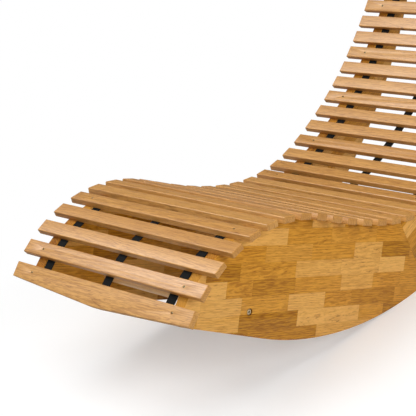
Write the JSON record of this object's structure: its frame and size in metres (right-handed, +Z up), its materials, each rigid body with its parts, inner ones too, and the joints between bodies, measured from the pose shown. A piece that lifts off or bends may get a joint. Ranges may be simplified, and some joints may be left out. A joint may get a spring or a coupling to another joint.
{
  "type": "rocking chaise lounge",
  "caption": "Rocking lounge with an S-shaped deck of wooden slats on two curved stave-built side panels, tied by round rails, with webbing straps under the slats.",
  "frame": {"origin": "on the floor, under the middle of the lounge as it stands balanced and empty", "axes": "+Z up, +Y from the foot end towards the back, +X to the right across the slats, seen from the foot end"},
  "size_m": [0.68, 1.8372, 0.8169],
  "materials": {
    "slats": "sanded and lightly oiled, fine straight grain",
    "panels": "oiled hardwood glued up from short staves of mixed browns",
    "rails": "turned hardwood bar, oiled",
    "dowels": "raw hardwood",
    "webbing": "black woven webbing",
    "steel": "zinc-plated steel"
  },
  "bodies": {
    "root": {"foot_slat": "slats", "slat_02": "slats", "slat_03": "slats", "slat_04": "slats", "slat_05": "slats", "slat_06": "slats", "slat_07": "slats", "slat_08": "slats", "slat_09": "slats", "slat_10": "slats", "slat_11": "slats", "slat_12": "slats", "slat_13": "slats", "slat_14": "slats", "slat_15": "slats", "slat_16": "slats", "slat_17": "slats", "slat_18": "slats", "slat_19": "slats", "slat_20": "slats", "slat_21": "slats", "slat_22": "slats", "slat_23": "slats", "slat_24": "slats", "slat_25": "slats", "slat_26": "slats", "slat_27": "slats", "slat_28": "slats", "slat_29": "slats", "slat_30": "slats", "slat_31": "slats", "slat_32": "slats", "left_base_panel": "panels", "left_back_panel": "panels", "right_base_panel": "panels", "right_back_panel": "panels", "left_joint_dowel_1": "dowels", "left_joint_dowel_2": "dowels", "left_joint_dowel_3": "dowels", "right_joint_dowel_1": "dowels", "right_joint_dowel_2": "dowels", "right_joint_dowel_3": "dowels", "front_rail": "rails", "rear_rail": "rails", "left_front_rail_bolt": "steel", "right_front_rail_bolt": "steel", "left_rear_rail_bolt": "steel", "right_rear_rail_bolt": "steel", "left_front_rail_barrel_nut": "steel", "right_front_rail_barrel_nut": "steel", "left_rear_rail_barrel_nut": "steel", "right_rear_rail_barrel_nut": "steel", "left_strap": "webbing", "middle_strap": "webbing", "right_strap": "webbing"}
  },
  "joints": []
}
